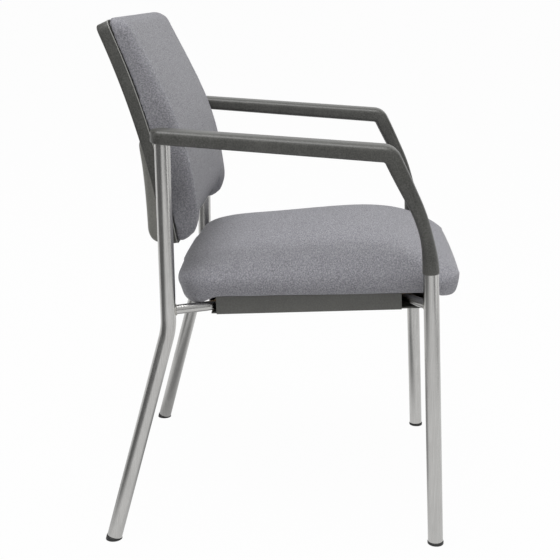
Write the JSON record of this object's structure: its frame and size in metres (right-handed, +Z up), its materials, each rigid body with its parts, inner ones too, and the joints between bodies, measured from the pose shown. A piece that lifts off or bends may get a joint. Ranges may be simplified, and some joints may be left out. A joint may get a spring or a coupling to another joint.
{
  "type": "four-leg visitor armchair",
  "caption": "Visitor armchair with padded grey seat and back, bent satin steel tube legs, moulded dark grey arms, under-seat shell and foot glides",
  "frame": {"origin": "On the floor, at the middle of the chair's bounding box.", "axes": "+Z is up. The chair faces -Y. The sitter's right hand is at -X."},
  "size_m": [0.562, 0.5838, 0.8483],
  "materials": {
    "steel": "satin",
    "zinc": "zinc plated",
    "plastic": "fine matt texture",
    "glide": "matt",
    "fabric": "fine weave over foam",
    "plywood": "raw"
  },
  "bodies": {
    "root": {"front_leg_right": "steel", "front_leg_left": "steel", "rear_leg_right": "steel", "rear_leg_left": "steel", "front_cross_tube": "steel", "rear_cross_tube": "steel", "back_bracket_bar": "steel", "glide_front_right": "glide", "glide_front_left": "glide", "glide_rear_right": "glide", "glide_rear_left": "glide", "seat_saddle_front_right": "glide", "seat_saddle_front_left": "glide", "seat_saddle_rear_right": "glide", "seat_saddle_rear_left": "glide", "armrest_right": "plastic", "armrest_left": "plastic", "seat_shell": "plastic", "back_shell": "plastic", "back_cover": "plastic", "seat_cushion": "fabric", "back_cushion": "fabric", "seat_board": "plywood", "back_board": "plywood", "seat_bolt_front_right": "zinc", "seat_bolt_front_left": "zinc", "seat_bolt_rear_right": "zinc", "seat_bolt_rear_left": "zinc", "seat_tnut_front_right": "zinc", "seat_tnut_front_left": "zinc", "seat_tnut_rear_right": "zinc", "seat_tnut_rear_left": "zinc", "back_bolt_lower_right": "zinc", "back_bolt_lower_left": "zinc", "back_bolt_upper_right": "zinc", "back_bolt_upper_left": "zinc", "back_tnut_lower_right": "zinc", "back_tnut_lower_left": "zinc", "back_tnut_upper_right": "zinc", "back_tnut_upper_left": "zinc", "arm_screw_front_right": "zinc", "arm_screw_front_left": "zinc", "arm_screw_rear_right": "zinc", "arm_screw_rear_left": "zinc"}
  },
  "joints": []
}
